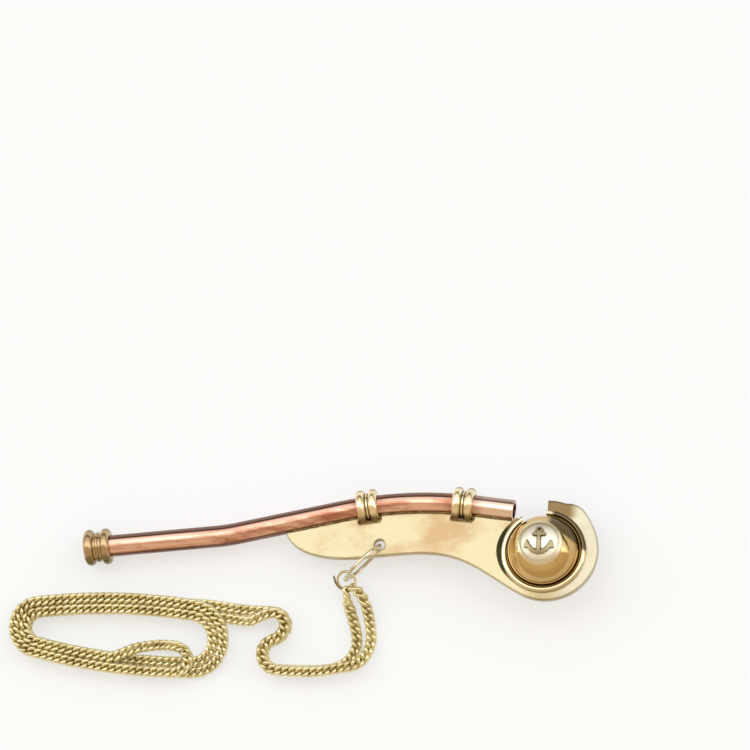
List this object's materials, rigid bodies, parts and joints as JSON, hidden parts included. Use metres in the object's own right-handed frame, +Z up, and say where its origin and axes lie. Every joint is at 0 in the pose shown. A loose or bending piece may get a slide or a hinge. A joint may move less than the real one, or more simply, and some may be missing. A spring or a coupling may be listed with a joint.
{
  "type": "boatswain's call",
  "caption": "Naval pipe lying on its side: bent copper tube with turned collars, keel plate, round hollow buoy with an anchor medallion, shackle ring and a long neck chain laid in a coil.",
  "frame": {"origin": "on the surface that the call lies on, under the middle of the call's own length and width", "axes": "+X along the call from the mouth to the buoy, +Y towards the tube's side, +Z up"},
  "size_m": [0.145, 0.0469, 0.0188],
  "materials": {
    "copper": "polished",
    "pale_brass": "satin",
    "polished_brass": "polished"
  },
  "bodies": {
    "call": {"gun_tube": "copper", "mouth_collar": "polished_brass", "rear_collar": "polished_brass", "front_collar": "polished_brass", "keel_plate": "pale_brass", "near_buoy_cup": "polished_brass", "far_buoy_cup": "polished_brass", "medallion": "polished_brass"},
    "shackle": {"shackle_ring": "polished_brass"},
    "chain": {"joining_ring": "polished_brass", "chain_outer_drop": "polished_brass", "chain_outer_lead": "polished_brass", "chain_outer_top": "polished_brass", "chain_outer_left": "polished_brass", "chain_outer_bottom": "polished_brass", "chain_outer_climb": "polished_brass", "chain_outer_over_top": "polished_brass", "chain_outer_over_left": "polished_brass", "chain_outer_over_bottom": "polished_brass", "chain_end_fold": "polished_brass", "chain_inner_over_bottom": "polished_brass", "chain_inner_over_left": "polished_brass", "chain_inner_over_top": "polished_brass", "chain_inner_climb": "polished_brass", "chain_inner_bottom": "polished_brass", "chain_inner_left": "polished_brass", "chain_inner_top": "polished_brass", "chain_inner_lead": "polished_brass", "chain_inner_drop": "polished_brass"}
  },
  "joints": [
    {"name": "shackle_swing", "type": "hinge", "parent": "call", "child": "shackle", "pos_m": [0.00982, -0.00013, 0.00693], "axis": [0, 0, 1], "range_deg": [-20, 75]},
    {"name": "chain_swivel", "type": "hinge", "parent": "shackle", "child": "chain", "pos_m": [0.00188, -0.00806, 0.00391], "axis": [0, 0, 1], "range_deg": [-75, 20]}
  ],
  "couplings": [
    {"joint": "chain_swivel", "follows": "shackle_swing", "ratio": -1}
  ]
}
